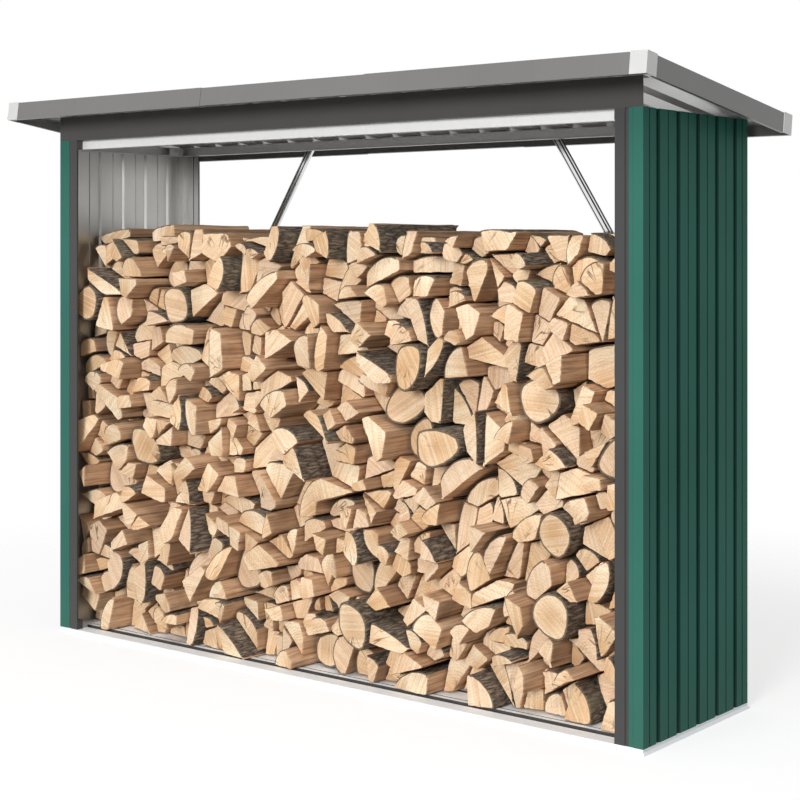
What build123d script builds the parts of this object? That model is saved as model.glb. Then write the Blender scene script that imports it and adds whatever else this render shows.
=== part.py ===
from build123d import *
import math
import os
import random

# Open steel log store with a mono-pitch roof and a bay of split firewood.
# X runs along the front, Y from front to back and Z up, in millimetres.
# The origin is on the ground, under the middle of the whole object.

# Overall sizes
length = 2060  # outside of the side walls
depth = 524  # front of the front posts to back of the back posts
wall_top = 1508  # top of the side walls above the ground
header_height = 73  # front header, which gives the roof its fall
overrun = 100  # how far a raw length runs past its cuts

# Sheet thicknesses
sheet = 0.8  # walls, posts, roof and trim
rail_sheet = 1.2  # base, ring, header and braces

# Base rails and floor planks
base_height = 14
base_width = 45
base_flare = 5  # how far the foot of a base rail spreads
base_bend_share = 0.5
plank_count = 3
plank_gap = 26
plank_lip = 15
plank_groove = 10
plank_pan_drop = 2  # pan of a plank below its lips

# Side walls
groove_count = 5
groove_pitch = 96.6
groove_width = 20
groove_depth = 6
groove_floor_share = 0.5
crease_width = 4
crease_depth = 1.2
wrap_width = 40  # how far a wall turns round its corner
wrap_bend = 27  # corner to the bend in the wrap
wrap_step = 2

# Corner posts and their brackets
post_face = 27.5
post_slot = 9.5  # lip that shows between the post's face and the wall
post_lap = 12  # lip hidden behind the wall's wrap
post_return = 6
bracket_width = 24
bracket_sheet = 1.5

# Top ring and braces
ring_height = 27
ring_flange = 24
front_rail_setback = 22  # front of the posts to the front top rail
header_flange = 25
brace_width = 22
brace_depth = 10
brace_head_place = 457  # middle of the store to the head of a brace
brace_foot_height = 740  # where a brace crosses the post's edge

# Roof sheets
front_overhang = 130  # down the slope, post to trim
back_overhang = 76
side_overhang = 85
rib_count = 7  # ribs on each sheet
rib_height = 19.4
rib_foot = 40
rib_crown = 20
roof_lap = 16

# Roof trim and corner caps
trim_sheet = 0.8
trim_height = 52
trim_lip = 10
trim_cover = 34  # front and back trim over the roof
side_trim_cover = 52
trim_middle = 583  # middle length of the front and back trim between its seams
trim_lap = 30
fit_gap = 0.2
cap_reach = 45
cap_wall = 1.5

# Firewood
log_column_pitch = 108
log_row_pitch = 101
log_length = 340
stack_height = 1240  # above the floor
log_gap = 0.4
stack_dip = 50  # how far the top of the stack may fall short
course_count = 10
stack_seed = 2060  # picks one stacking of the logs
front_setback = 26
back_setback = 26
bark_width = 106  # narrower outer edges stay flat
jitter_share = 0.3
log_length_share = 0.05
saw_tilt_share = 0.26
stack_lean_share = 0.5
bark_up_share = 0.5
bark_rise_share = 0.14
bark_reach_share = 0.85
whole_share = 0.08
half_share = 0.4
third_share = 0.32

# Places that follow from the sizes
slope_depth = math.hypot(depth, header_height)
roof_cos = depth / slope_depth
roof_sin = header_height / slope_depth
rib_top = rib_height + sheet
trim_top = rib_top + 2 * trim_sheet + fit_gap
front_reach = (front_overhang + cap_wall) * roof_cos + (trim_height - trim_top) * roof_sin
back_reach = (back_overhang + cap_wall) * roof_cos + (trim_top + cap_wall) * roof_sin
wall_front = (front_reach - back_reach - depth) / 2
wall_back = wall_front + depth
wall_height = wall_top - base_height
post_width = post_face + post_slot + wrap_width
opening_half = length / 2 - post_width
wall_inside = length / 2 - groove_depth - sheet
rail_setbacks = {1: front_rail_setback, -1: post_return + bracket_sheet}
roof_seat = Vector(0, wall_front, wall_top + header_height)
roof_end = Plane(origin=roof_seat, x_dir=(1, 0, 0), z_dir=(0, -depth, header_height))
roof_side = Plane(origin=roof_seat, x_dir=(0, depth, -header_height), z_dir=(1, 0, 0))
roof_face = Plane(origin=roof_seat, x_dir=(1, 0, 0), z_dir=(0, header_height, depth))

side_names = {-1: "left", 1: "right"}
end_names = {1: "front", -1: "back"}

os.makedirs("parts", exist_ok=True)


def save(piece, name):
    piece.label = name
    export_step(piece, f"parts/{name}.step")


def folded_outline(points, thickness):
    # One face of the folded sheet is the path; the other lies to its left, or right if negative
    path = [Vector(*point) for point in points]
    runs = [(stop - start).normalized() for start, stop in zip(path, path[1:])]
    normals = [Vector(-run.Y, run.X) for run in runs]
    inner_face = []
    for number, point in enumerate(path):
        before = normals[max(number - 1, 0)]
        after = normals[min(number, len(normals) - 1)]
        inner_face.append(point + (before + after) * (thickness / (1 + before.dot(after))))
    Polygon(*path, *reversed(inner_face), align=None)


def corner_plane(side, end, height):
    # Local x points out of the side wall and local y into the store
    corner = (side * length / 2, wall_front if end > 0 else wall_back, height)
    return Plane(origin=corner, x_dir=(side, 0, 0), z_dir=(0, 0, side * end))


# Base rails: open channels with a spread foot, mitred at the corners
def base_rail(name, run, plane):
    bend = base_height * base_bend_share
    points = [
        (2 * base_flare, -bend),
        (0, bend),
        (0, base_height),
        (-base_width, base_height),
        (-base_width, 0),
    ]
    with BuildPart() as rail:
        with BuildSketch(plane):
            folded_outline(points, rail_sheet)
        extrude(amount=run / 2 + overrun, both=True)
        for way in (-1, 1):
            corner = plane.from_local_coords(Vector(0, 0, way * run / 2))
            mitre = plane.z_dir * way + plane.x_dir
            split(bisect_by=Plane(origin=corner, z_dir=mitre.cross(plane.y_dir) * way), keep=Keep.BOTTOM)
        split(bisect_by=Plane.XY, keep=Keep.TOP)
    save(rail.part, name)


for end, name in end_names.items():
    place = Vector(0, wall_front if end > 0 else wall_back, 0)
    base_rail(f"base_{name}_rail", length, Plane(origin=place, x_dir=(0, -end, 0), z_dir=(-end, 0, 0)))
for side, name in side_names.items():
    place = Vector(side * length / 2, (wall_front + wall_back) / 2, 0)
    base_rail(f"base_{name}_rail", depth, Plane(origin=place, x_dir=(side, 0, 0), z_dir=(0, -side, 0)))

# Floor planks: raised lips, grooves that stand on the ground and a wide pan
floor_front = wall_front + base_width
floor_depth = depth - 2 * base_width
floor_half = length / 2 - base_width
plank_width = (floor_depth - (plank_count + 1) * plank_gap) / plank_count
lip_top = base_height
pan_top = base_height - plank_pan_drop
plank_points = [
    (-plank_width / 2, 0),
    (-plank_width / 2, lip_top),
    (-plank_width / 2 + plank_lip, lip_top),
    (-plank_width / 2 + plank_lip, rail_sheet),
    (-plank_width / 2 + plank_lip + plank_groove, rail_sheet),
    (-plank_width / 2 + plank_lip + plank_groove, pan_top),
]
plank_points += [(-across, up) for across, up in reversed(plank_points)]
for number in range(plank_count):
    middle = floor_front + plank_gap + plank_width / 2 + number * (plank_width + plank_gap)
    with BuildPart() as plank:
        with BuildSketch(Plane(origin=(-floor_half, middle, 0), x_dir=(0, 1, 0), z_dir=(1, 0, 0))):
            folded_outline(plank_points, -rail_sheet)
        extrude(amount=2 * floor_half)
    save(plank.part, f"floor_plank_{number + 1}")

# Corner posts: a flat face, a short return at the opening and a lip behind the wall's wrap
post_step = wrap_step + sheet
post_points = [
    (-post_width, post_return),
    (-post_width, 0),
    (-post_width + post_face, 0),
    (-post_width + post_face, post_step),
    (-wrap_width + post_lap, post_step),
]
for side, side_name in side_names.items():
    for end, end_name in end_names.items():
        with BuildPart() as post:
            with BuildSketch(corner_plane(side, end, base_height)):
                folded_outline(post_points, sheet)
            extrude(amount=side * end * wall_height)
        save(post.part, f"post_{end_name}_{side_name}")

# Brackets at the foot and the head of each post, which reach back to the top rails
for end, end_name in end_names.items():
    with BuildPart() as brackets:
        for side in side_names:
            for height, way in ((base_height, 1), (wall_top, -1)):
                with BuildSketch(corner_plane(side, end, height)):
                    bracket_back = rail_setbacks[end] - bracket_sheet
                    bracket_points = [
                        (-post_width, sheet),
                        (-post_width, bracket_back),
                        (-post_width + bracket_width, bracket_back),
                    ]
                    folded_outline(bracket_points, bracket_sheet)
                extrude(amount=side * end * way * ring_height)
    save(brackets.part, f"post_{end_name}_brackets")


# Side walls: one pressed sheet each, turned round the front and back corners
def wall_outline():
    half_front = [(-wrap_width, wrap_step), (-wrap_bend - wrap_step, wrap_step), (-wrap_bend, 0), (0, 0)]
    grooves = [depth / 2 + (number - (groove_count - 1) / 2) * groove_pitch for number in range(groove_count)]
    edges = [0] + [place + way * groove_width / 2 for place in grooves for way in (-1, 1)] + [depth]
    floor_half_width = groove_width * groove_floor_share / 2
    points = list(half_front)
    for number in range(groove_count + 1):
        crease = (edges[2 * number] + edges[2 * number + 1]) / 2
        points += [
            (0, crease - crease_width / 2),
            (-crease_depth, crease),
            (0, crease + crease_width / 2),
        ]
        if number < groove_count:
            points += [
                (0, grooves[number] - groove_width / 2),
                (-groove_depth, grooves[number] - floor_half_width),
                (-groove_depth, grooves[number] + floor_half_width),
                (0, grooves[number] + groove_width / 2),
            ]
    points += [(across, depth - along) for across, along in reversed(half_front)]
    return points


for side, name in side_names.items():
    with BuildPart() as wall:
        with BuildSketch(corner_plane(side, 1, base_height)):
            folded_outline(wall_outline(), sheet)
        extrude(amount=side * wall_height)
    save(wall.part, f"wall_{name}")

# Top ring: channels with their webs outwards, between the posts and along the walls
ring_bottom = wall_top - ring_height
ring_points = [
    (ring_flange, ring_bottom),
    (0, ring_bottom),
    (0, wall_top),
    (ring_flange, wall_top),
]
ring_front = wall_front + rail_setbacks[1] + ring_flange
ring_back = wall_back - rail_setbacks[-1] - ring_flange
for end, name in end_names.items():
    place = Vector(0, (wall_front if end > 0 else wall_back) + end * rail_setbacks[end], 0)
    with BuildPart() as rail:
        with BuildSketch(Plane(origin=place, x_dir=(0, end, 0), z_dir=(end, 0, 0))):
            folded_outline(ring_points, -rail_sheet)
        extrude(amount=wall_inside, both=True)
    save(rail.part, f"top_{name}_rail")
for side, name in side_names.items():
    place = Vector(side * wall_inside, (ring_front + ring_back) / 2, 0)
    with BuildPart() as rail:
        with BuildSketch(Plane(origin=place, x_dir=(-side, 0, 0), z_dir=(0, side, 0))):
            folded_outline(ring_points, -rail_sheet)
        extrude(amount=(ring_back - ring_front) / 2, both=True)
    save(rail.part, f"top_{name}_rail")

# Front header: its top flange lies in the slope of the roof
header_points = [
    (wall_front + header_flange, wall_top),
    (wall_front, wall_top),
    (wall_front, wall_top + header_height),
    (wall_front + header_flange * roof_cos, wall_top + header_height - header_flange * roof_sin),
]
with BuildPart() as header:
    with BuildSketch(Plane.YZ):
        folded_outline(header_points, -rail_sheet)
    extrude(amount=length / 2, both=True)
save(header.part, "front_header")

# Back braces: folded channels from the top rail down and out to the posts
brace_face = wall_back - post_return
brace_points = [
    (-brace_width / 2, 0),
    (-brace_width / 2, brace_depth),
    (brace_width / 2, brace_depth),
    (brace_width / 2, 0),
]
for side, name in side_names.items():
    head = Vector(side * brace_head_place, brace_face, ring_bottom)
    foot = Vector(side * opening_half, brace_face, brace_foot_height)
    run = head - foot
    foot_plane = Plane(origin=foot, x_dir=run.cross(Vector(0, 1, 0)), z_dir=run)
    post_edge = Plane(origin=(side * (opening_half + post_face), 0, 0), z_dir=(side, 0, 0))
    with BuildPart() as brace:
        with BuildSketch(foot_plane.offset(-overrun)):
            folded_outline(brace_points, -rail_sheet)
        extrude(amount=run.length + 2 * overrun)
        split(bisect_by=Plane.XY.offset(ring_bottom), keep=Keep.BOTTOM)
        split(bisect_by=post_edge, keep=Keep.BOTTOM)
    save(brace.part, f"brace_back_{name}")

# Roof sheets: ribs run down the slope, and a middle sheet laps over its neighbours
trim_tuck = trim_sheet + fit_gap
roof_half = length / 2 + side_overhang - trim_tuck
sheet_names = ["left", "middle", "right"]
sheet_width = 2 * roof_half / len(sheet_names)
rib_pitch = sheet_width / rib_count
sheet_front = front_overhang - 2 * trim_tuck
sheet_back = back_overhang - 2 * trim_tuck


def roof_outline(left, laps):
    right = left + sheet_width
    points = [(left, 0)]
    if laps:
        points = [(left - roof_lap, sheet), (left + fit_gap, sheet), (left + fit_gap + sheet, 0)]
    for number in range(rib_count):
        rib = left + (number + 1 / 2) * rib_pitch
        points += [
            (rib - rib_foot / 2, 0),
            (rib - rib_crown / 2, rib_height),
            (rib + rib_crown / 2, rib_height),
            (rib + rib_foot / 2, 0),
        ]
    if laps:
        points += [(right - fit_gap - sheet, 0), (right - fit_gap, sheet), (right + roof_lap, sheet)]
    else:
        points.append((right, 0))
    return points


for number, name in enumerate(sheet_names):
    with BuildPart() as roof_sheet:
        with BuildSketch(roof_end.offset(sheet_front)):
            folded_outline(roof_outline(number * sheet_width - roof_half, name == "middle"), sheet)
        extrude(amount=-(sheet_front + slope_depth + sheet_back))
    save(roof_sheet.part, f"roof_sheet_{name}")

# Front and back trim: three lengths each, the middle one tucked inside the outer two
trim_half = length / 2 + side_overhang
trim_bottom = trim_top - trim_height


def cross_trim(edge, inward, tuck, left, right):
    points = [
        (edge + inward * (tuck + trim_lip), trim_bottom + tuck),
        (edge + inward * tuck, trim_bottom + tuck),
        (edge + inward * tuck, trim_top - tuck),
        (edge + inward * (tuck + trim_cover), trim_top - tuck),
    ]
    with BuildPart() as trim:
        with BuildSketch(roof_side.offset(left)):
            folded_outline(points, -inward * trim_sheet)
        extrude(amount=right - left)
    return trim.part


for inward, name in end_names.items():
    edge = -front_overhang if inward > 0 else slope_depth + back_overhang
    seam = trim_middle / 2
    save(cross_trim(edge, inward, 0, -trim_half, -seam), f"trim_{name}_left")
    save(cross_trim(edge, inward, trim_tuck, -seam - trim_lap, seam + trim_lap), f"trim_{name}_middle")
    save(cross_trim(edge, inward, 0, seam, trim_half), f"trim_{name}_right")

# Side trim: it lies on the outer rib, between the front and the back trim
side_trim_front = front_overhang - trim_cover - fit_gap
side_trim_back = slope_depth + back_overhang - trim_cover - fit_gap
for side, name in side_names.items():
    points = [
        (side * (trim_half - trim_lip), trim_bottom),
        (side * trim_half, trim_bottom),
        (side * trim_half, trim_top - trim_tuck),
        (side * (trim_half - side_trim_cover), trim_top - trim_tuck),
    ]
    with BuildPart() as trim:
        with BuildSketch(roof_end.offset(side_trim_front)):
            folded_outline(points, side * trim_sheet)
        extrude(amount=-(side_trim_front + side_trim_back))
    save(trim.part, f"trim_{name}")

# Corner caps: shells open below and towards the trim they close
slope_axis = Axis(roof_seat, roof_side.x_dir)
rise_axis = Axis(roof_seat, roof_face.z_dir)
for side, side_name in side_names.items():
    for end, end_name in end_names.items():
        edge = -front_overhang if end > 0 else slope_depth + back_overhang
        across = side * (trim_half + cap_wall - cap_reach / 2)
        along = edge - end * (cap_wall - cap_reach / 2)
        with BuildPart() as cap:
            with BuildSketch(roof_face.offset(trim_bottom)):
                with Locations((across, along)):
                    Rectangle(cap_reach, cap_reach)
            extrude(amount=trim_height + cap_wall)
            open_faces = [
                cap.faces().sort_by(Axis.X)[0 if side > 0 else -1],
                cap.faces().sort_by(slope_axis)[-1 if end > 0 else 0],
                cap.faces().sort_by(rise_axis)[0],
            ]
            offset(amount=-cap_wall, openings=open_faces)
        save(cap.part, f"cap_{end_name}_{side_name}")


# Firewood: round logs packed side by side in the bay and split into halves, thirds and quarters.
# Each outline is convex and lies in the plane of the front, x across and y up.
def behind_line(outline, point, normal):
    kept = []
    for start, stop in zip(outline, outline[1:] + outline[:1]):
        start_side = (start - point).dot(normal)
        stop_side = (stop - point).dot(normal)
        if start_side <= 0:
            kept.append(start)
        if start_side * stop_side < 0:
            kept.append(start + (stop - start) * (start_side / (start_side - stop_side)))
    return kept


def middle_of(outline):
    return sum(outline, Vector()) * (1 / len(outline))


def outward(start, stop):
    run = (stop - start).normalized()
    return Vector(run.Y, -run.X)


def shrunk(outline, distance):
    result = outline
    for start, stop in zip(outline, outline[1:] + outline[:1]):
        normal = outward(start, stop)
        result = behind_line(result, start - normal * distance, normal)
    return result


def split_pieces(outline, chance):
    heart = middle_of(outline)
    turn = chance.uniform(0, math.pi)
    cleave = Vector(math.cos(turn), math.sin(turn))
    square = Vector(-cleave.Y, cleave.X)
    draw = chance.random()
    if draw < whole_share:
        return [outline]
    near = behind_line(outline, heart, cleave)
    far = behind_line(outline, heart, cleave * -1)
    if draw < whole_share + half_share:
        return [near, far]
    near_pieces = [behind_line(near, heart, square), behind_line(near, heart, square * -1)]
    if draw < whole_share + half_share + third_share:
        return near_pieces + [far]
    return near_pieces + [behind_line(far, heart, square), behind_line(far, heart, square * -1)]


def bark_claim(start, stop):
    return (stop - start).length * (1 + bark_up_share * outward(start, stop).Y)


def log_face(outline):
    # The widest edge is bark, rather on the upper side, and where it is wide enough it is
    # a flat arc that touches the edge at its middle
    count = len(outline)
    first = max(range(count), key=lambda k: bark_claim(outline[k], outline[(k + 1) % count]))
    turned = outline[first:] + outline[:first]
    start, stop, after, before = turned[0], turned[1], turned[2], turned[-1]
    if (stop - start).length < bark_width:
        Polygon(*outline, align=None)
        return
    inward = outward(start, stop) * -1
    before_reach = (before - start).dot(inward)
    after_reach = (after - stop).dot(inward)
    corner = min((before - start).get_angle(stop - start), (after - stop).get_angle(start - stop))
    rise = min(
        (stop - start).length * bark_rise_share,
        (stop - start).length * math.tan(math.radians(corner / 2)) * bark_reach_share / 2,
        before_reach * bark_reach_share,
        after_reach * bark_reach_share,
    )
    arc_start = start + (before - start) * (rise / before_reach)
    arc_stop = stop + (after - stop) * (rise / after_reach)
    crown = (arc_start + arc_stop) * (1 / 2) - inward * rise
    with BuildLine() as end:
        Polyline(arc_stop, *turned[2:], arc_start)
        ThreePointArc(arc_start, crown, arc_stop)
    make_face(end.edges())


def split_log(outline, chance):
    heart = middle_of(outline)
    run = log_length * (1 + chance.uniform(-log_length_share, log_length_share))
    front = wall_front + front_setback + chance.random() * (depth - front_setback - back_setback - run)
    tilt_across = chance.uniform(-saw_tilt_share, saw_tilt_share)
    tilt_up = chance.uniform(-saw_tilt_share, saw_tilt_share)
    saw_cut = Plane(origin=(heart.X, front, heart.Y), z_dir=(tilt_across, -1, tilt_up))
    with BuildPart() as log:
        with BuildSketch(Plane.XZ.offset(-front - run)):
            log_face(outline)
        extrude(amount=run + overrun)
        split(bisect_by=saw_cut, keep=Keep.BOTTOM)
    return log.part


chance = random.Random(stack_seed)
stack_half = wall_inside - log_gap / 2
row_count = round(stack_height / log_row_pitch)
column_count = round(2 * stack_half / log_column_pitch)
row_pitch = stack_height / row_count
column_pitch = 2 * stack_half / column_count
course_height = stack_height / course_count
hearts = []
for row in range(row_count):
    for column in range(column_count):
        stagger = (row % 2) / 2 - 1 / 4
        across = (column + 1 / 2 + stagger + chance.uniform(-jitter_share, jitter_share)) * column_pitch
        up = (row + 1 / 2 + chance.uniform(-jitter_share, jitter_share)) * row_pitch
        hearts.append(Vector(across - stack_half, base_height + up))
for course in range(course_count):
    logs = []
    for heart in hearts:
        if int((heart.Y - base_height) / course_height) != course:
            continue
        stack_top = base_height + stack_height - chance.random() * stack_dip
        lean = chance.uniform(-stack_lean_share, stack_lean_share)
        outline = [
            Vector(-stack_half, base_height),
            Vector(stack_half, base_height),
            Vector(stack_half, stack_top),
            Vector(-stack_half, stack_top),
        ]
        outline = behind_line(outline, Vector(heart.X, stack_top), Vector(lean, 1))
        for other in hearts:
            if other is not heart:
                outline = behind_line(outline, (heart + other) * (1 / 2), other - heart)
        for piece in split_pieces(outline, chance):
            logs.append(split_log(shrunk(piece, log_gap / 2), chance))
    save(Compound(children=logs), f"firewood_course_{course + 1:02}")
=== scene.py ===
import math
import bpy
import numpy as np
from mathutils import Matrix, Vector


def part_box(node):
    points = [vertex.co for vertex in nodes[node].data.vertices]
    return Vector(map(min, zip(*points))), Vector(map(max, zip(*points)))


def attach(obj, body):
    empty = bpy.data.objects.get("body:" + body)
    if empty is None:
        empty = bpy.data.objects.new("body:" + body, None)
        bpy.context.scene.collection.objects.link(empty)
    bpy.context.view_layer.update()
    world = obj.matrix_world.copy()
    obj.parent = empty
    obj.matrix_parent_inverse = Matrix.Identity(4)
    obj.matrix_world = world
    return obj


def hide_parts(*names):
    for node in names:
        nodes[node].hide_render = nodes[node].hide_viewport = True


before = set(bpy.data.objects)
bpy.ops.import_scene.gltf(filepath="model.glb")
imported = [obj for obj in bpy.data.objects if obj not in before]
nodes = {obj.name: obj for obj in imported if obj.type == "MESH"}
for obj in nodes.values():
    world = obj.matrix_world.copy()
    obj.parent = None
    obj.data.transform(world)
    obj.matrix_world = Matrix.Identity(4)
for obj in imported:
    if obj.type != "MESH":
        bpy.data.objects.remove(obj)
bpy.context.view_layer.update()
scene = bpy.context.scene
scene.view_settings.view_transform = "Standard"
print("frame loaded,", len(nodes), "nodes")

# level camera with the picture slid down, as in the photograph
cameraView = {
    "place": (3.0307, -3.6522, 1.1791),
    "turn": 38.542,
    "lens": 75.99,
    "sensor": 36,
    "slide": -0.1899,
}
cameraData = bpy.data.cameras.new("storeCamera")
cameraData.lens = cameraView["lens"]
cameraData.sensor_width = cameraView["sensor"]
cameraData.shift_y = cameraView["slide"]
camera = bpy.data.objects.new("storeCamera", cameraData)
camera.location = cameraView["place"]
camera.rotation_euler = (math.radians(90), 0, math.radians(cameraView["turn"]))
scene.collection.objects.link(camera)
scene.camera = camera
print("camera set")


# small helpers for node trees
def newFinish(name):
    finish = bpy.data.materials.new(name)
    finish.use_nodes = True
    tree = finish.node_tree
    return finish, tree, tree.nodes["Principled BSDF"]


def addNode(tree, kind, **settings):
    node = tree.nodes.new("ShaderNode" + kind)
    for name, value in settings.items():
        setattr(node, name, value)
    return node


def join(tree, fromSocket, toSocket):
    tree.links.new(fromSocket, toSocket)


def noiseOf(tree, place, scale, detail=3.0, rough=0.5):
    noise = addNode(tree, "TexNoise")
    noise.inputs["Scale"].default_value = scale
    noise.inputs["Detail"].default_value = detail
    noise.inputs["Roughness"].default_value = rough
    join(tree, place, noise.inputs["Vector"])
    return noise.outputs["Fac"]


def noiseColour(tree, place, scale):
    noise = addNode(tree, "TexNoise")
    noise.inputs["Scale"].default_value = scale
    join(tree, place, noise.inputs["Vector"])
    return noise.outputs["Color"]


def stretched(tree, place, factors):
    mapping = addNode(tree, "Mapping")
    mapping.inputs["Scale"].default_value = factors
    join(tree, place, mapping.inputs["Vector"])
    return mapping.outputs["Vector"]


def spreadOf(tree, value, low, high, toLow, toHigh):
    spread = addNode(tree, "MapRange")
    for name, number in (("From Min", low), ("From Max", high), ("To Min", toLow), ("To Max", toHigh)):
        spread.inputs[name].default_value = number
    join(tree, value, spread.inputs["Value"])
    return spread.outputs["Result"]


def mixOf(tree, factor, first, second, blend="MIX"):
    mix = addNode(tree, "Mix", data_type="RGBA", blend_type=blend)
    for socket, value in ((mix.inputs["Factor"], factor), (mix.inputs[6], first), (mix.inputs[7], second)):
        if isinstance(value, bpy.types.NodeSocket):
            join(tree, value, socket)
        else:
            socket.default_value = value if isinstance(value, (int, float)) else (*value, 1)
    return mix.outputs[2]


def sumOf(tree, first, second, operation="ADD"):
    maths = addNode(tree, "Math", operation=operation)
    for socket, value in zip(maths.inputs, (first, second)):
        if isinstance(value, bpy.types.NodeSocket):
            join(tree, value, socket)
        else:
            socket.default_value = value
    return maths.outputs["Value"]


def bumpTo(tree, shader, height, strength, distance):
    bump = addNode(tree, "Bump")
    bump.inputs["Strength"].default_value = strength
    bump.inputs["Distance"].default_value = distance
    join(tree, height, bump.inputs["Height"])
    join(tree, bump.outputs["Normal"], shader.inputs["Normal"])


def attributeOf(tree, name):
    return addNode(tree, "Attribute", attribute_name=name)


# baked paint on sheet steel: slow drift in tone, orange peel, a little dust near the ground
paintGrain = {
    "drift": 2.2,
    "peel": 520,
    "peelBump": 0.12,
    "peelDepth": 0.0004,
    "streakStretch": (34, 34, 0.9),
    "dustTop": 0.16,
    "dustGrain": 26,
    "dust": (0.42, 0.40, 0.36),
}


def paintedSheet(name, look, grain=paintGrain):
    finish, tree, shader = newFinish(name)
    place = addNode(tree, "TexCoord").outputs["Object"]
    drift = noiseOf(tree, place, grain["drift"], 4)
    peel = noiseOf(tree, place, grain["peel"], 2)
    streak = noiseOf(tree, stretched(tree, place, grain["streakStretch"]), 1, 3)
    height = addNode(tree, "SeparateXYZ")
    join(tree, place, height.inputs["Vector"])
    tone = mixOf(tree, spreadOf(tree, drift, 0.3, 0.7, 0, 1), look["shade"], look["light"])
    tone = mixOf(tree, spreadOf(tree, streak, 0.35, 0.75, 0, look["streak"]), tone, look["light"])
    low = spreadOf(tree, height.outputs["Z"], 0.0, grain["dustTop"], look["dust"], 0)
    dusty = sumOf(tree, low, noiseOf(tree, place, grain["dustGrain"], 5, 0.62), "MULTIPLY")
    join(tree, mixOf(tree, dusty, tone, grain["dust"]), shader.inputs["Base Color"])
    rough = look["rough"]
    join(tree, spreadOf(tree, drift, 0.25, 0.75, rough - 0.05, rough + 0.06), shader.inputs["Roughness"])
    shader.inputs["Specular IOR Level"].default_value = look["gloss"]
    bumpTo(tree, shader, peel, grain["peelBump"], grain["peelDepth"])
    return finish


greenLook = {
    "shade": (0.034, 0.138, 0.106),
    "light": (0.045, 0.166, 0.129),
    "streak": 0.25,
    "dust": 0.05,
    "rough": 0.34,
    "gloss": 0.02,
}
# near-black green for the steep sides of the wall grooves outside: painted shade in the grooves
paintedCreaseShadeLook = {
    "shade": (0.007, 0.032, 0.024),
    "light": (0.011, 0.042, 0.032),
    "streak": 0.25,
    "dust": 0.05,
    "rough": 0.40,
    "gloss": 0.02,
}
postLook = {
    "shade": (0.053, 0.052, 0.052),
    "light": (0.065, 0.064, 0.064),
    "streak": 0.3,
    "dust": 0.05,
    "rough": 0.40,
    "gloss": 0.2,
}
headerLook = {
    "shade": (0.062, 0.060, 0.058),
    "light": (0.076, 0.074, 0.071),
    "streak": 0.2,
    "dust": 0.0,
    "rough": 0.42,
    "gloss": 0.2,
}
trimLook = {
    "shade": (0.126, 0.122, 0.119),
    "light": (0.147, 0.143, 0.140),
    "streak": 0.3,
    "dust": 0.0,
    "rough": 0.36,
    "gloss": 0.8,
}
greenPaint = paintedSheet("greenPaint", greenLook)
paintedCreaseShade = paintedSheet("paintedCreaseShade", paintedCreaseShadeLook)
postPaint = paintedSheet("postPaint", postLook)
headerPaint = paintedSheet("headerPaint", headerLook)
trimPaint = paintedSheet("trimPaint", trimLook)


# zinc coated steel: crystal flowers, rolling streaks and a soft shine
zincGrain = {"bend": 0.01, "bendGrain": 45, "drift": 3.5, "rollBump": 0.05, "rollDepth": 0.0004}


def zincSheet(name, look, grain=zincGrain):
    finish, tree, shader = newFinish(name)
    place = addNode(tree, "TexCoord").outputs["Object"]
    flowers = addNode(tree, "TexVoronoi")
    flowers.inputs["Scale"].default_value = look["flowers"]
    bent = mixOf(tree, grain["bend"], place, noiseColour(tree, place, grain["bendGrain"]))
    join(tree, bent, flowers.inputs["Vector"])
    grey = addNode(tree, "RGBToBW")
    join(tree, flowers.outputs["Color"], grey.inputs["Color"])
    roll = noiseOf(tree, stretched(tree, place, look["roll"]), 1, 4)
    drift = noiseOf(tree, place, grain["drift"], 3)
    crystal, spangle = grey.outputs["Val"], look["spangle"]
    flower = spreadOf(tree, crystal, 0.1, 0.9, 0.5 - spangle / 2, 0.5 + spangle / 2)
    tone = mixOf(tree, flower, look["shade"], look["light"])
    tone = mixOf(tree, spreadOf(tree, roll, 0.4, 0.8, 0, 0.5), tone, look["light"])
    tone = mixOf(tree, spreadOf(tree, drift, 0.35, 0.8, 0, 0.35), tone, look["shade"])
    join(tree, tone, shader.inputs["Base Color"])
    dull = spreadOf(tree, crystal, 0, 1, -0.05 * spangle, 0.05 * spangle)
    worn = spreadOf(tree, drift, 0.3, 0.7, look["rough"] - 0.05, look["rough"] + 0.05)
    join(tree, sumOf(tree, dull, worn), shader.inputs["Roughness"])
    shader.inputs["Metallic"].default_value = look["metal"]
    bumpTo(tree, shader, roll, grain["rollBump"], grain["rollDepth"])
    return finish


wallZincLook = {
    "shade": (0.46, 0.455, 0.44),
    "light": (0.53, 0.525, 0.505),
    "flowers": 150,
    "spangle": 0.25,
    "roll": (45, 45, 0.8),
    "rough": 0.36,
    "metal": 0.8,
}
postZincLook = {
    "shade": (0.42, 0.415, 0.40),
    "light": (0.49, 0.485, 0.47),
    "flowers": 150,
    "spangle": 0.25,
    "roll": (45, 45, 0.8),
    "rough": 0.50,
    "metal": 0.2,
}
railZincLook = {
    "shade": (0.78, 0.78, 0.77),
    "light": (0.86, 0.86, 0.85),
    "flowers": 90,
    "spangle": 0.5,
    "roll": (2, 60, 60),
    "rough": 0.42,
    "metal": 0.15,
}
braceLook = {
    "shade": (0.74, 0.74, 0.74),
    "light": (0.84, 0.84, 0.84),
    "flowers": 60,
    "spangle": 0.1,
    "roll": (40, 40, 40),
    "rough": 0.13,
    "metal": 1.0,
}
baseZincLook = {
    "shade": (0.86, 0.89, 0.91),
    "light": (0.91, 0.94, 0.96),
    "flowers": 90,
    "spangle": 0.5,
    "roll": (2, 60, 60),
    "rough": 0.5,
    "metal": 0.0,
}
# near-black zinc for the plank gaps and the brace bead sides: painted shade
paintedGapShadeLook = {
    "shade": (0.030, 0.030, 0.030),
    "light": (0.050, 0.050, 0.048),
    "flowers": 90,
    "spangle": 0.5,
    "roll": (2, 60, 60),
    "rough": 0.6,
    "metal": 0.0,
}
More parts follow.
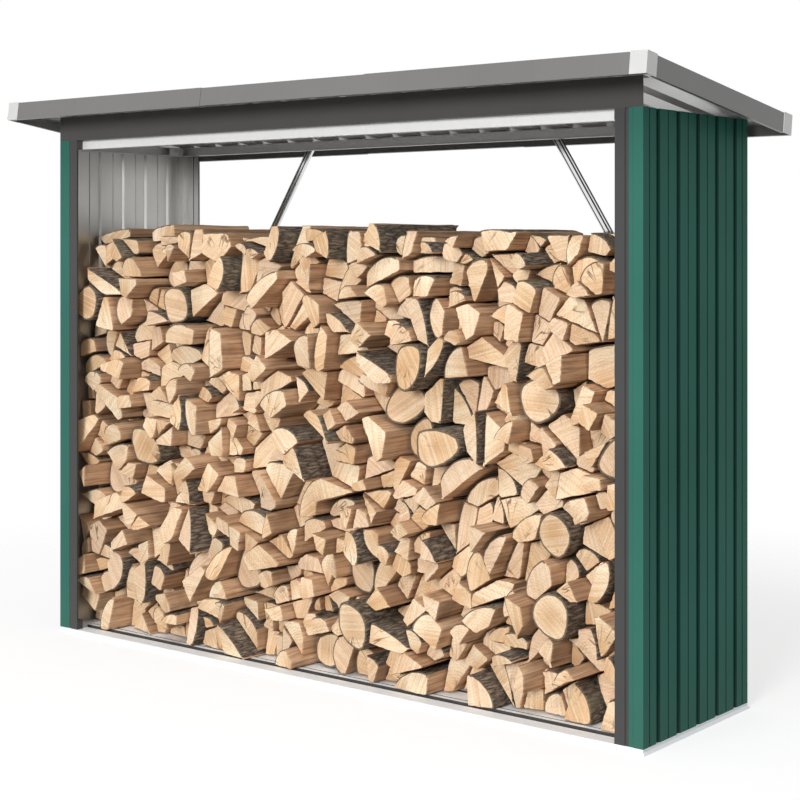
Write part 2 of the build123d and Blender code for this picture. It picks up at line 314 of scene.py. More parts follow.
roofZincLook = {
    "shade": (0.62, 0.62, 0.61),
    "light": (0.70, 0.70, 0.69),
    "flowers": 90,
    "spangle": 0.3,
    "roll": (60, 2, 60),
    "rough": 0.36,
    "metal": 0.6,
}
wallZinc = zincSheet("wallZinc", wallZincLook)
postZinc = zincSheet("postZinc", postZincLook)
railZinc = zincSheet("railZinc", railZincLook)
braceZinc = zincSheet("braceZinc", braceLook)
baseZinc = zincSheet("baseZinc", baseZincLook)
paintedGapShade = zincSheet("paintedGapShade", paintedGapShadeLook)
roofZinc = zincSheet("roofZinc", roofZincLook)

# moulded plastic: fine grain under a soft coat
capLook = {
    "shade": (0.53, 0.53, 0.52),
    "light": (0.58, 0.58, 0.57),
    "rough": 0.40,
    "gloss": 0.9,
    "coat": 1.0,
    "coatRough": 0.25,
    "drift": 14,
    "grain": 1400,
    "grainBump": 0.15,
    "grainDepth": 0.0003,
}


def mouldedCap(look):
    finish, tree, shader = newFinish("capPlastic")
    place = addNode(tree, "TexCoord").outputs["Object"]
    drift = noiseOf(tree, place, look["drift"], 3)
    grain = noiseOf(tree, place, look["grain"], 2)
    join(tree, mixOf(tree, drift, look["shade"], look["light"]), shader.inputs["Base Color"])
    rough = look["rough"]
    join(tree, spreadOf(tree, drift, 0.3, 0.7, rough - 0.06, rough + 0.06), shader.inputs["Roughness"])
    shader.inputs["Specular IOR Level"].default_value = look["gloss"]
    shader.inputs["Coat Weight"].default_value = look["coat"]
    shader.inputs["Coat Roughness"].default_value = look["coatRough"]
    bumpTo(tree, shader, grain, look["grainBump"], look["grainDepth"])
    return finish


capPlastic = mouldedCap(capLook)
print("sheet and cap finishes made")


# the rule looks at a face's middle and its normal and gives the number of its finish
def dressSheet(name, finishes, rule=None):
    mesh = nodes[name].data
    mesh.materials.clear()
    for finish in finishes:
        mesh.materials.append(finish)
    for face in mesh.polygons:
        face.material_index = int(rule(face.center, face.normal)) if rule else 0


sheetSides = {"wrap": 0.004, "grooveSteep": 0.45, "lipSteep": 0.5, "plankLow": 0.004}
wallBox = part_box("wall_right")
wallMiddle = (wallBox[0].y + wallBox[1].y) / 2
wallDepth = wallBox[1].y - wallBox[0].y
wrapReach = wallDepth / 2 - sheetSides["wrap"]  # from here on a wall is turned round its corner


def wallFaces(side):
    def rule(middle, normal):
        if abs(middle.y - wallMiddle) > wrapReach:
            return normal.y * (middle.y - wallMiddle) < -1e-9
        steep = abs(normal.y) > sheetSides["grooveSteep"]  # sides of the pressed grooves
        if normal.x * side < 0:
            return 3 if steep else 1
        # outside, the steep groove sides take the painted crease shade
        return 2 if steep else 0

    return rule


def postInside(middle, normal):
    return normal.y * (middle.y - wallMiddle) < -1e-6


def roofUnderside(middle, normal):
    return normal.z < 0


# plank lip sides and low faces take the near-black finish: painted shade in the gaps between the lips
def plankGapShade(middle, normal):
    return abs(normal.y) > sheetSides["lipSteep"] or middle.z < sheetSides["plankLow"]


for name in nodes:
    side = -1 if name.endswith("left") else 1
    if name.startswith("wall_"):
        dressSheet(name, [greenPaint, wallZinc, paintedCreaseShade, postZinc], wallFaces(side))
    elif name == "post_back_brackets":
        dressSheet(name, [railZinc])
    elif name == "post_front_brackets":
        dressSheet(name, [headerPaint])
    elif name.startswith("post_"):
        dressSheet(name, [postPaint, postZinc], postInside)
    elif name.startswith("front_header"):
        dressSheet(name, [headerPaint])
    elif name.startswith("roof_sheet"):
        dressSheet(name, [trimPaint, roofZinc], roofUnderside)
    elif name.startswith("trim_"):
        dressSheet(name, [trimPaint])
    elif name.startswith("cap_"):
        dressSheet(name, [capPlastic])
    elif name.startswith("floor_"):
        dressSheet(name, [baseZinc, paintedGapShade], plankGapShade)
    elif name.startswith("base_"):
        dressSheet(name, [baseZinc])
    elif name.startswith("top_"):
        dressSheet(name, [railZinc])
print("sheet metal dressed")


def linkPiece(name, mesh, replaced=None):
    piece = bpy.data.objects.new(name, mesh)
    scene.collection.objects.link(piece)
    if replaced:
        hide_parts(replaced)
    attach(piece, "root")
    return piece


# back braces: bright folded strip with two pressed beads, cut level at the rail and upright at the post
braceFold = {
    "width": 0.022,
    "depth": 0.010,
    "sheet": 0.0011,
    "bead": 0.0030,
    "beadWidth": 0.0050,
    "beadFloorShare": 0.3,
    "beadPlace": 0.0055,
    "head": 0.457,  # from the middle of the store
    "footInset": 0.0275,
    "footRise": 0.022,
}


def foldedBrace(name, side, fold):
    low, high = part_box(name)
    half, inner = fold["width"] / 2, fold["sheet"]
    head = Vector((side * fold["head"], high.y, high.z))
    outer = low.x if side < 0 else high.x
    lean = (abs(outer) - fold["footInset"] - fold["head"]) / (high.z - low.z - fold["footRise"])
    along = Vector((-side * lean, 0, 1)).normalized()
    across = Vector((along.z, 0, -along.x))
    place, wide = fold["beadPlace"], fold["beadWidth"] / 2
    flat, dip = wide * fold["beadFloorShare"], 1 - fold["bead"] / fold["depth"]
    web = [(-half, 0), (-half, 1)]
    for middle in (-place, place):
        web += [(middle - wide, 1), (middle - flat, dip), (middle + flat, dip), (middle + wide, 1)]
    web += [(half, 1), (half, 0)]
    front = [(u, v * fold["depth"]) for u, v in web]
    back = []
    for u, v in front:
        leg = inner if abs(u) > half - 1e-6 else 0
        back.append((math.copysign(max(0, abs(u) - leg), u), max(0, v - inner)))
    loop = front + back[::-1]
    vertices = []
    for u, v in loop:
        point = head + across * u + Vector((0, -v, 0))
        vertices.append(point + along * ((high.z - point.z) / along.z))
        vertices.append(point + along * ((outer - point.x) / along.x))
    count = len(loop)
    faces = [(2 * k, 2 * k + 1, 2 * ((k + 1) % count) + 1, 2 * ((k + 1) % count)) for k in range(count)]
    many = len(front)
    for k in range(many - 1):  # both cut ends
        a, b, c, d = k, k + 1, count - 2 - k, count - 1 - k
        faces += [(2 * a, 2 * b, 2 * c, 2 * d), (2 * d + 1, 2 * c + 1, 2 * b + 1, 2 * a + 1)]
    mesh = bpy.data.meshes.new(name + "_fold")
    mesh.from_pydata([tuple(point) for point in vertices], [], faces)
    mesh.materials.append(braceZinc)
    mesh.materials.append(paintedGapShade)
    for k in (2, 8) if side < 0 else (2, 7, 8, many - 2):  # painted shade on the sides of the beads and the upper leg
        mesh.polygons[k].material_index = 1
    linkPiece(name + "_fold", mesh, name)


foldedBrace("brace_back_left", -1, braceFold)
foldedBrace("brace_back_right", 1, braceFold)
print("braces folded")

# hex heads with washers: roof screws and ring bolts
headShape = {
    "corners": 12,
    "washer": 0.0085,
    "washerHeight": 0.0014,
    "sunk": 0.0004,
    "hex": 0.0060,
    "flatShare": 0.134,  # how far a flat lies inside the corners
    "shoulderShare": 0.86,
    "topShare": 0.8,
    "height": 0.0052,
}


def hexHeads(name, spots, look, finish):
    vertices, faces = [], []
    corners = look["corners"]
    rings = [  # radius, height, how much of a hexagon
        (look["washer"], -look["sunk"], 0),
        (look["washer"], look["washerHeight"], 0),
        (look["hex"], look["washerHeight"], 1),
        (look["hex"], look["height"] * look["shoulderShare"], 1),
        (look["hex"] * look["topShare"], look["height"], 0.5),
    ]
    for place, normal in spots:
        normal = Vector(normal).normalized()
        first = normal.orthogonal().normalized()
        second = normal.cross(first)
        start = len(vertices)
        for radius, height, hexed in rings:
            for k in range(corners):
                turn = k * 2 * math.pi / corners
                reach = radius * (1 - hexed * (look["flatShare"] if k % 2 else 0))
                outward = first * math.cos(turn) + second * math.sin(turn)
                vertices.append(Vector(place) + normal * height + outward * reach)
        vertices.append(Vector(place) + normal * look["height"])
        for r in range(len(rings) - 1):
            for k in range(corners):
                a, b = start + r * corners + k, start + r * corners + (k + 1) % corners
                faces.append((a, b, b + corners, a + corners))
        top = start + (len(rings) - 1) * corners
        faces += [(top + k, top + (k + 1) % corners, top + corners) for k in range(corners)]
        faces.append(tuple(range(start + corners - 1, start - 1, -1)))  # closed underneath
    mesh = bpy.data.meshes.new(name)
    mesh.from_pydata([tuple(point) for point in vertices], [], faces)
    mesh.materials.append(finish)
    linkPiece(name, mesh)


# roof screws stand on every second rib, near both ends
roofScrew = {"ribs": 21, "inset": 0.020, "crown": 0.0202}
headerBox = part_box("front_header")
roofLow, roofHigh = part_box("roof_sheet_left")[0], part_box("roof_sheet_right")[1]
roofDrop = headerBox[1].z - headerBox[0].z
downSlope = Vector((0, wallDepth, -roofDrop)).normalized()
offSlope = Vector((0, roofDrop, wallDepth)).normalized()
slopeLength = math.hypot(wallDepth, roofDrop)
ribStep = (roofHigh.x - roofLow.x) / roofScrew["ribs"]
crown = offSlope * roofScrew["crown"]
roofSpots = []
for rib in range(0, roofScrew["ribs"], 2):
    ribHead = Vector((roofLow.x + (rib + 0.5) * ribStep, wallBox[0].y, headerBox[1].z))
    for along in (roofScrew["inset"], slopeLength - roofScrew["inset"]):
        roofSpots.append((ribHead + downSlope * along + crown, offSlope))
hexHeads("roofScrews", roofSpots, headShape, trimPaint)

# small plates close the ring corners, one bolt each
cornerPlate = {"length": 0.060, "sheet": 0.001, "flange": 0.001}


def ringPlates(look):
    vertices, faces, spots = [], [], []
    for side, name in ((-1, "left"), (1, "right")):
        low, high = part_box("top_" + name + "_rail")
        mouth = high.x if side < 0 else low.x
        for start in (low.y, high.y - look["length"]):
            first = len(vertices)
            for x in (mouth, mouth + side * look["sheet"]):
                for y, z in ((0, 0), (1, 0), (1, 1), (0, 1)):
                    height = high.z - look["flange"] if z else low.z + look["flange"]
                    vertices.append((x, start + y * look["length"], height))
            sides = [(0, 1, 2, 3), (7, 6, 5, 4), (0, 4, 5, 1), (1, 5, 6, 2), (2, 6, 7, 3), (3, 7, 4, 0)]
            faces += [tuple(first + k for k in (quad if side < 0 else quad[::-1])) for quad in sides]
            spots.append(((mouth, start + look["length"] / 2, (low.z + high.z) / 2), (-side, 0, 0)))
    mesh = bpy.data.meshes.new("cornerPlates")
    mesh.from_pydata(vertices, [], faces)
    mesh.materials.append(railZinc)
    linkPiece("cornerPlates", mesh)
    return spots


frameSpots = ringPlates(cornerPlate)
hexHeads("frameBolts", frameSpots, headShape, railZinc)
print("fasteners set,", len(roofSpots) + len(frameSpots))


# wood: sawn ends with year rings, torn split faces and furrowed bark
endLook = {
    "pale": (0.95, 0.78, 0.555),
    "warm": (0.84, 0.58, 0.34),
    "heart": (0.67, 0.395, 0.195),
    "rose": (0.79, 0.565, 0.395),
    "ring": (0.54, 0.31, 0.155),
    "paintedGlint": (0.98, 0.88, 0.70),
    "crack": (0.17, 0.095, 0.048),
    "rind": (0.105, 0.072, 0.047),
    "ringPitch": 0.0078,
    "ringShade": 0.42,
    "wander": 26,
    "wanderTurns": 7,
    "blotch": 22,
    "heartNear": 0.012,
    "heartFar": 0.075,
    "sawGrain": 135,
    "crackPatch": 10,
    "crackTurns": 1.7,
    "crackReach": 6,
    "crackGrain": 1.7,
    "fuzz": 210,
    "depth": 0.0014,
    "rough": 0.78,
    "gloss": 0.25,
}


def sawnEnd(look):
    finish, tree, shader = newFinish("sawnEnd")
    place = attributeOf(tree, "ringPlace").outputs["Vector"]
    chance = attributeOf(tree, "logChance").outputs["Fac"]
    rim = attributeOf(tree, "rimShade").outputs["Fac"]
    parts = addNode(tree, "SeparateXYZ")
    join(tree, place, parts.inputs["Vector"])
    flat = addNode(tree, "CombineXYZ")
    join(tree, parts.outputs["X"], flat.inputs["X"])
    join(tree, parts.outputs["Y"], flat.inputs["Y"])
    radius = addNode(tree, "VectorMath", operation="LENGTH")
    join(tree, flat.outputs["Vector"], radius.inputs[0])
    fromHeart = radius.outputs["Value"]
    wander = sumOf(tree, noiseOf(tree, place, look["wander"], 3), look["wanderTurns"], "MULTIPLY")
    turn = sumOf(tree, parts.outputs["Y"], parts.outputs["X"], "ARCTAN2")
    wave = sumOf(tree, sumOf(tree, fromHeart, 2 * math.pi / look["ringPitch"], "MULTIPLY"), wander)
    blotch = noiseOf(tree, place, look["blotch"], 4, 0.6)
    rings = spreadOf(tree, sumOf(tree, wave, 0, "SINE"), 0.0, 1, 0, look["ringShade"])
    rings = sumOf(tree, rings, spreadOf(tree, blotch, 0.38, 0.66, 0.1, 1), "MULTIPLY")
    tone = mixOf(tree, spreadOf(tree, chance, 0.2, 0.95, 0, 1), look["pale"], look["warm"])
    otherChance = sumOf(tree, sumOf(tree, chance, 7.3, "MULTIPLY"), 1, "MODULO")  # a second one of each log
    tone = mixOf(tree, spreadOf(tree, otherChance, 0.45, 1, 0, 0.85), tone, look["rose"])
    ripe = spreadOf(tree, fromHeart, look["heartNear"], look["heartFar"], 0.9, 0)
    ripe = sumOf(tree, ripe, spreadOf(tree, otherChance, 0.9, 0.2, 0.1, 1), "MULTIPLY")
    tone = mixOf(tree, ripe, tone, look["heart"])
    tone = mixOf(tree, rings, tone, look["ring"])
    tone = mixOf(tree, spreadOf(tree, blotch, 0.56, 0.82, 0, 0.5), tone, look["ring"])
    # saw marks cross the end in one direction: darker streaks, with a painted highlight between them
    sawLine = attributeOf(tree, "sawLine").outputs["Fac"]
    sawPlace = addNode(tree, "CombineXYZ")
    join(tree, sumOf(tree, sawLine, look["sawGrain"], "MULTIPLY"), sawPlace.inputs["X"])
    join(tree, parts.outputs["Z"], sawPlace.inputs["Z"])
    sawMarks = noiseOf(tree, sawPlace.outputs["Vector"], 1, 3, 0.7)
    tone = mixOf(tree, spreadOf(tree, sawMarks, 0.50, 0.74, 0, 0.55), tone, look["ring"])
    # painted highlight: a pale cream laid between the saw marks
    tone = mixOf(tree, spreadOf(tree, sawMarks, 0.5, 0.28, 0, 0.6), tone, look["paintedGlint"])
    # drying cracks run out from the heart
    fan = addNode(tree, "CombineXYZ")
    join(tree, sumOf(tree, turn, look["crackTurns"], "MULTIPLY"), fan.inputs["X"])
    join(tree, sumOf(tree, fromHeart, look["crackReach"], "MULTIPLY"), fan.inputs["Y"])
    join(tree, parts.outputs["Z"], fan.inputs["Z"])
    split = noiseOf(tree, fan.outputs["Vector"], look["crackGrain"], 2, 0.35)
    apart = sumOf(tree, sumOf(tree, split, 0.5, "SUBTRACT"), 0, "ABSOLUTE")
    crack = spreadOf(tree, apart, 0.010, 0.028, 1, 0)
    gate = spreadOf(tree, noiseOf(tree, place, look["crackPatch"], 1), 0.60, 0.68, 0, 0.85)
    tone = mixOf(tree, sumOf(tree, crack, gate, "MULTIPLY"), tone, look["crack"])
    fuzz = noiseOf(tree, place, look["fuzz"], 4, 0.7)
    tone = mixOf(tree, spreadOf(tree, fuzz, 0.48, 0.72, 0, 0.5), tone, look["ring"])
    tone = mixOf(tree, spreadOf(tree, rim, 0.30, 0.50, 0, 0.9), tone, look["rind"])  # cut edge of the bark
    join(tree, tone, shader.inputs["Base Color"])
    shader.inputs["Roughness"].default_value = look["rough"]
    shader.inputs["Specular IOR Level"].default_value = look["gloss"]
    relief = sumOf(tree, sawMarks, sumOf(tree, fuzz, crack, "SUBTRACT"))
    bumpTo(tree, shader, relief, 0.5, look["depth"])
    return finish


splitLook = {
    "pale": (0.81, 0.55, 0.35),
    "deep": (0.215, 0.112, 0.057),
    "warm": (0.62, 0.365, 0.205),
    "fibres": (125, 4.5, 1),
    "bands": (38, 2.2, 1),
    "blotch": (14, 9, 1),
    "depth": 0.002,
    "gloss": 0.3,
}


def splitFace(look):
    finish, tree, shader = newFinish("splitFace")
    place = attributeOf(tree, "grainPlace").outputs["Vector"]
    chance = attributeOf(tree, "logChance").outputs["Fac"]
    fibres = noiseOf(tree, stretched(tree, place, look["fibres"]), 1, 5, 0.7)
    bands = noiseOf(tree, stretched(tree, place, look["bands"]), 1, 3)
    blotch = noiseOf(tree, stretched(tree, place, look["blotch"]), 1, 4)
    tone = mixOf(tree, spreadOf(tree, bands, 0.35, 0.68, 0, 1), look["pale"], look["warm"])
    tone = mixOf(tree, spreadOf(tree, fibres, 0.44, 0.70, 0, 0.9), tone, look["deep"])
    tone = mixOf(tree, spreadOf(tree, blotch, 0.55, 0.75, 0, 0.5), tone, look["deep"])
    tone = mixOf(tree, spreadOf(tree, chance, 0.25, 1, 0, 0.5), tone, look["deep"])
    join(tree, tone, shader.inputs["Base Color"])
    join(tree, spreadOf(tree, fibres, 0.3, 0.7, 0.62, 0.85), shader.inputs["Roughness"])
    shader.inputs["Specular IOR Level"].default_value = look["gloss"]
    bumpTo(tree, shader, sumOf(tree, fibres, bands), 0.8, look["depth"])
    return finish


barkLook = {
    "furrow": (0.052, 0.040, 0.031),
    "ridge": (0.36, 0.29, 0.225),
    "moss": (0.26, 0.265, 0.185),
    "bend": 0.012,
    "bendGrain": 40,
    "plates": (105, 17, 1),
    "crumbs": (150, 55, 1),
    "mossPatch": (20, 12, 1),
    "depth": 0.004,
    "rough": 0.88,
    "gloss": 0.2,
}


def furrowedBark(look):
    finish, tree, shader = newFinish("furrowedBark")
    place = attributeOf(tree, "grainPlace").outputs["Vector"]
    chance = attributeOf(tree, "logChance").outputs["Fac"]
    bent = mixOf(tree, look["bend"], place, noiseColour(tree, place, look["bendGrain"]))
    plates = addNode(tree, "TexVoronoi", feature="DISTANCE_TO_EDGE")
    plates.inputs["Scale"].default_value = 1
    join(tree, stretched(tree, bent, look["plates"]), plates.inputs["Vector"])
    rough = noiseOf(tree, stretched(tree, place, look["crumbs"]), 1, 6, 0.75)
    plate = spreadOf(tree, plates.outputs["Distance"], 0.02, 0.3, 0, 0.6)
    ridge = sumOf(tree, plate, sumOf(tree, rough, 1.4, "MULTIPLY"))
    tone = mixOf(tree, spreadOf(tree, ridge, 0.55, 1.4, 0, 1), look["furrow"], look["ridge"])
    patch = noiseOf(tree, stretched(tree, place, look["mossPatch"]), 1, 4)
    mossy = spreadOf(tree, chance, 0.4, 0.9, 0, 1)
    mossy = sumOf(tree, spreadOf(tree, patch, 0.5, 0.7, 0, 0.6), mossy, "MULTIPLY")
    tone = mixOf(tree, mossy, tone, look["moss"])
    join(tree, tone, shader.inputs["Base Color"])
    shader.inputs["Roughness"].default_value = look["rough"]
    shader.inputs["Specular IOR Level"].default_value = look["gloss"]
    bumpTo(tree, shader, ridge, 0.9, look["depth"])
    return finish


woodFinishes = [sawnEnd(endLook), splitFace(splitLook), furrowedBark(barkLook)]
print("wood finishes made")

logLook = {
    "seed": 31,
    "around": 28,  # points round a log
    "stations": (0, 0.005, 0.02, 0.06, 0.14, 0.27, 0.44, 0.63, 0.82, 0.95, 0.99, 1),
    "endRings": (0.86, 0.5),
    "cornerWear": 0.0014,
    "tear": 0.0030,
    "barkRelief": 0.0020,
    "barkRise": 0.15,
    "barkShare": 0.36,  # narrower logs that still carry bark
    "barkUp": 0.5,  # bark lies rather on the upper side
    "topBand": 0.09,  # logs that reach into it lie on top, bark up
    "wholeArea": 0.0098,  # a log this thick was never split
    "slack": 0.0019,  # mean gap left round a log
    "sawRoughness": 0.0005,
    "mitreLimit": 0.6,
    "sharpAngle": 38,
    "rindEdge": 0.0012,  # how far the back edge is worn in
    "ragged": (0.0011, 0.0009),  # mean and swing of the front edge
    "arcMatch": 0.04,  # edges this much alike are one arc
    "arcBend": 0.5,
    "barkSteps": 8,
    "bowSlope": 0.36,
    "bowReach": 0.8,
    "pithReach": (0.85, 1.15),
    "ringStretch": 0.3,  # rings change slowly along a log
    "apart": {"ring": 60, "across": 17, "along": 5, "grain": 40},  # moves each log through the textures
    "pitches": {  # across and along a log
        "tear": (0.048, 0.55),
        "splinter": (0.015, 0.20),
        "knob": (0.022, 0.05),
        "slack": (0.25, 0.5),
        "wear": (0.05, 0.06),
        "saw": (0.03, 0.05),
        "edge": (0.02, 1),
    },
}


# the logs of a course are the separate islands of its mesh
def logIslands(mesh):
    points = np.empty(len(mesh.vertices) * 3, np.float32)
    mesh.vertices.foreach_get("co", points)
    points = points.reshape(-1, 3).astype(float)
    welded = np.unique(np.round(points / 2e-5).astype(np.int64), axis=0, return_inverse=True)[1].ravel()
    ends = np.empty(len(mesh.edges) * 2, np.int32)
    mesh.edges.foreach_get("vertices", ends)
    ends = welded[ends.reshape(-1, 2)]
    label = np.arange(welded.max() + 1)
    while True:
        before = label.copy()
        lowest = np.minimum(label[ends[:, 0]], label[ends[:, 1]])
        np.minimum.at(label, ends[:, 0], lowest)
        np.minimum.at(label, ends[:, 1], lowest)
        label = label[label]
        if (label == before).all():
            break
    groups = label[welded]
    return [points[groups == number] for number in np.unique(groups)]


def logOutline(points):
    back = points[:, 1].max()
    atBack = np.abs(points[:, 1] - back) < 1e-5
    flat = np.unique(np.round(points[atBack][:, [0, 2]], 6), axis=0)
    middle = flat.mean(0)
    flat = flat[np.argsort(np.arctan2(flat[:, 1] - middle[1], flat[:, 0] - middle[0]))]
    front = points[~atBack]
    spots = np.c_[np.ones(len(front)), front[:, 0], front[:, 2]]
    slant = np.linalg.lstsq(spots, front[:, 1], rcond=None)[0]
    return flat, back, slant


# the bark arc is the run of equal short edges
def barkRun(flat, look):
    edges = np.roll(flat, -1, 0) - flat
    lengths = np.hypot(edges[:, 0], edges[:, 1])
    count = len(flat)
    best = (int((lengths - look["barkUp"] * edges[:, 0]).argmax()), 1)
    for start in range(count):
        run = 1
        while run < count - 2:
            here, then = (start + run - 1) % count, (start + run) % count
            turn = math.atan2(*edges[then][::-1]) - math.atan2(*edges[here][::-1])
            bend = abs(math.remainder(turn, 2 * math.pi))
            unlike = abs(lengths[then] - lengths[here]) > look["arcMatch"] * lengths[here]
            if unlike or bend > look["arcBend"]:
                break
            run += 1
        if run > max(best[1], 1):
            best = (start, run)
    return best


# a wide flat side becomes a shallow bow whose crown stays where the side was
def roundedBark(flat, start, look):
    turned = np.roll(flat, -start, 0)
    first, last, after, before = turned[0], turned[1], turned[2], turned[-1]
    edge = last - first
    width = np.hypot(*edge)
    inward = np.array([-edge[1], edge[0]]) / width
    reaches = (before - first) @ inward, (after - last) @ inward
    slopes = reaches[0] / np.hypot(*(before - first)), reaches[1] / np.hypot(*(after - last))
    rise = width * min(look["barkRise"], look["bowSlope"] * min(slopes))
    rise = min(rise, look["bowReach"] * min(reaches))
    left = first + (before - first) * rise / reaches[0]
    right = last + (after - last) * rise / reaches[1]
    along = np.linspace(0, 1, look["barkSteps"])[:, None]
    bow = left + (right - left) * along - inward * 4 * rise * along * (1 - along)
    return np.vstack([bow, turned[2:]])


def cutCorners(flat):
    ahead = np.roll(flat, -1, 0)
    return np.stack([flat * 0.75 + ahead * 0.25, flat * 0.25 + ahead * 0.75], 1).reshape(-1, 2)


def walkOutline(flat, start, run, around):
    count = len(flat)
    turned = np.roll(flat, -start, 0)
    closed = np.vstack([turned, turned[:1]])
    chains = [(closed[: run + 1], True)] + [(closed[k : k + 2], False) for k in range(run, count)]
    lengths = np.array([np.hypot(*np.diff(chain, axis=0).T).sum() for chain, bark in chains])
    shares = np.maximum(2, np.round(around * lengths / lengths.sum())).astype(int)
    shares[lengths.argmax()] += around - shares.sum()
    spots, bark, corner = [], [], []
    for (chain, isBark), share in zip(chains, shares):
        steps = np.r_[0, np.cumsum(np.hypot(*np.diff(chain, axis=0).T))]
        along = np.linspace(0, steps[-1], share, endpoint=False)
        spots.append(np.c_[np.interp(along, steps, chain[:, 0]), np.interp(along, steps, chain[:, 1])])
        bark += [isBark] * share
        corner += [True] + [False] * (share - 1)
    return np.vstack(spots), np.array(bark), np.array(corner)


# a few random waves laid over each other
def ripple(chance, across, along, pitch, count=5):
    total = np.zeros(np.broadcast(across, along).shape)
    for k in range(count):
        turns = chance.uniform(0.5, 1.5, 2) * chance.choice((-1, 1), 2)
        shift = chance.random()
        total += np.sin(2 * math.pi * (across / pitch[0] * turns[0] + along / pitch[1] * turns[1] + shift))
    return total / count


def dressLog(points, chance, look, stackTop):
    flat, back, slant = logOutline(points)
    start, run = barkRun(flat, look)
    turnedX, turnedZ = np.roll(flat, -1, 0).T
    whole = abs((flat[:, 0] * turnedZ - turnedX * flat[:, 1]).sum()) / 2 > look["wholeArea"]
    if whole:
        flat = cutCorners(cutCorners(flat))
        start, run = 0, len(flat)
    elif run == 1:
        onTop = flat[:, 1].max() > stackTop - look["topBand"]
        if chance.random() < look["barkShare"] or onTop:
            flat, start, run = roundedBark(flat, start, look), 0, look["barkSteps"] - 1
    ring, bark, corner = walkOutline(flat, start, run, look["around"])
    if run == 1:
        bark[:] = False
    count, stations = len(ring), np.array(look["stations"])
    ahead, behind = np.roll(ring, -1, 0) - ring, ring - np.roll(ring, 1, 0)
    outA = np.c_[ahead[:, 1], -ahead[:, 0]] / np.hypot(*ahead.T)[:, None]
    outB = np.c_[behind[:, 1], -behind[:, 0]] / np.hypot(*behind.T)[:, None]
    out = outA + outB
    out /= np.maximum(look["mitreLimit"], (out * out).sum(1) / 2)[:, None]  # mitred at the corners
    walk = np.r_[0, np.cumsum(np.hypot(*ahead.T))[:-1]]
    length = back - (slant @ np.array([1, *ring.mean(0)]))
    across, along = walk[:, None], (stations * length)[None, :]
    pitches = look["pitches"]
    tear = ripple(chance, across, along, pitches["tear"])
    tear = look["tear"] * np.abs(tear + 0.5 * ripple(chance, across, along, pitches["splinter"]))
    knobs = look["barkRelief"] * np.abs(ripple(chance, across, along, pitches["knob"], 7))
    inset = np.where(bark[:, None], knobs, tear)
    inset = inset + look["slack"] * (1 + ripple(chance, across, along, pitches["slack"], 3))
    wear = look["cornerWear"] * (0.55 + 0.45 * ripple(chance, across, along, pitches["wear"]))
    inset = inset + np.where(corner[:, None], wear, 0)
    mean, swing = look["ragged"]
    inset[:, 0] += mean + swing * ripple(chance, walk, 0, pitches["edge"])  # ragged saw edge
    inset[:, -1] += look["rindEdge"]
    place = ring[:, None, :] - out[:, None, :] * inset[:, :, None]
    fronts = slant[0] + place[:, :, 0] * slant[1] + place[:, :, 1] * slant[2]
    depths = fronts + (back - fronts) * stations[None, :]
    side = np.stack([place[:, :, 0], depths, place[:, :, 1]], 2)  # around, station, xyz

    vertices = [side.reshape(-1, 3)]
    rind = np.where(bark | np.roll(bark, 1), 1.0, 0.2)
    rim = [np.repeat(rind, len(stations))]
    faces, kinds = [], []
    wide = len(stations)
    nextOne = (np.arange(count) + 1) % count
    for s in range(wide - 1):
        here, there = np.arange(count) * wide + s, nextOne * wide + s
        faces.append(np.c_[here, here + 1, there + 1, there])
        kinds.append(np.where(bark, 2, 1))
    base = count * wide
    triangles = []
    for last in (False, True):
        edge = np.arange(count) * wide + (wide - 1 if last else 0)
        outer = side[:, -1 if last else 0]
        heart = outer.mean(0)
        previous = edge
        for scale in look["endRings"]:
            inner = heart + (outer - heart) * scale
            rough = ripple(chance, inner[:, 0], inner[:, 2], pitches["saw"], 4)
            rough = look["sawRoughness"] * (1 + rough) / 2
            cut = slant[0] + inner[:, 0] * slant[1] + inner[:, 2] * slant[2]
            inner[:, 1] = back - rough if last else cut + rough
            vertices.append(inner)
            rim.append(np.zeros(count))
            here = base + np.arange(count)
            quad = np.c_[previous, here, here[nextOne], previous[nextOne]]
            faces.append(quad if last else quad[:, ::-1])
            kinds.append(np.zeros(count, int))
            previous = here
            base += count
        if not last:
            heart = np.array([heart[0], slant @ np.array([1, heart[0], heart[2]]), heart[2]])
        vertices.append(heart[None, :])
        rim.append(np.zeros(1))
        fan = np.c_[previous, np.full(count, base), previous[nextOne]]
        triangles.append(fan if last else fan[:, ::-1])
        base += 1
    vertices = np.vstack(vertices)

    # heart of the tree: behind the bark, on the far side of the log
    barkSpots = ring[bark] if bark.any() else ring[:3]
    crown = barkSpots.mean(0)
    reach = np.hypot(*(ring - crown).T)
    pith = ring.mean(0)
    if not whole:
        pith = crown + (ring[reach.argmax()] - crown) * chance.uniform(*look["pithReach"])
    token, sawTurn = chance.random(), chance.uniform(0, math.pi)
    apart = look["apart"]
    ringDepth = vertices[:, 1] * look["ringStretch"] + token * apart["ring"]
    ringPlace = np.c_[vertices[:, 0] - pith[0], vertices[:, 2] - pith[1], ringDepth]
    grainWalk = np.concatenate([np.repeat(walk, wide), np.zeros(len(vertices) - count * wide)])
    grainAlong = vertices[:, 1] + token * apart["along"]
    grainDepth = np.full(len(vertices), token * apart["grain"])
    grainPlace = np.c_[grainWalk + token * apart["across"], grainAlong, grainDepth]
    return {
        "vertices": vertices,
        "quads": np.vstack(faces),
        "kinds": np.concatenate(kinds),
        "triangles": np.vstack(triangles),
        "rimShade": np.concatenate(rim),
        "ringPlace": ringPlace,
        "grainPlace": grainPlace,
        "sawLine": vertices[:, 0] * math.cos(sawTurn) + vertices[:, 2] * math.sin(sawTurn),
        "logChance": np.full(len(vertices), chance.random()),
    }


